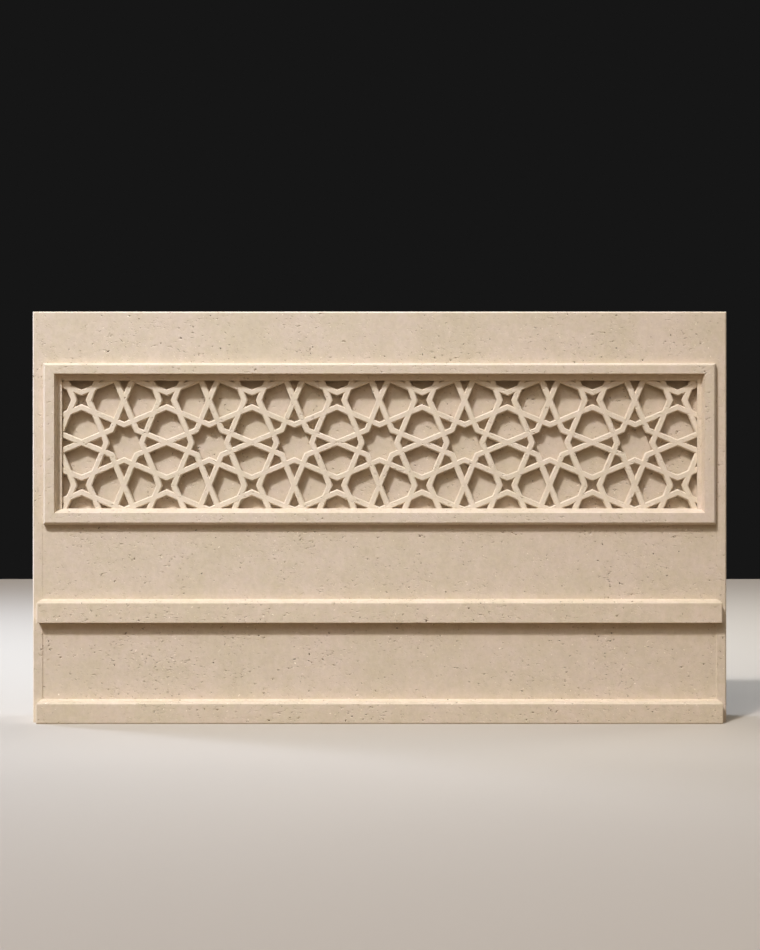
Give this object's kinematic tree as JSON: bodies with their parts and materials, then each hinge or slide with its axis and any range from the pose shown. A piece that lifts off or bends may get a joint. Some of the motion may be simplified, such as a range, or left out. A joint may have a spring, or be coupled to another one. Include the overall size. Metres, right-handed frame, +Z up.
{
  "type": "mashrabiya facade panel",
  "caption": "Limestone facade panel with a pierced star screen set in a framed blind niche, over a weathered string course and plinth course.",
  "frame": {"origin": "middle of the whole footprint, on the ground, under the slab and its plinth course", "axes": "+X along the panel to the right as seen from the front, +Y from the carved face to the back, +Z up"},
  "size_m": [1.8, 0.1764, 1.066],
  "materials": {
    "wall_limestone": "honed cream limestone with small pits",
    "screen_limestone": "carved and rubbed cream limestone",
    "frame_limestone": "honed cream limestone with small pits",
    "course_limestone": "honed cream limestone with small pits"
  },
  "bodies": {
    "root": {"wall_slab": "wall_limestone", "star_screen": "screen_limestone", "frame_top_rail": "frame_limestone", "frame_bottom_rail": "frame_limestone", "frame_left_stile": "frame_limestone", "frame_right_stile": "frame_limestone", "string_course": "course_limestone", "plinth_course": "course_limestone"}
  },
  "joints": []
}
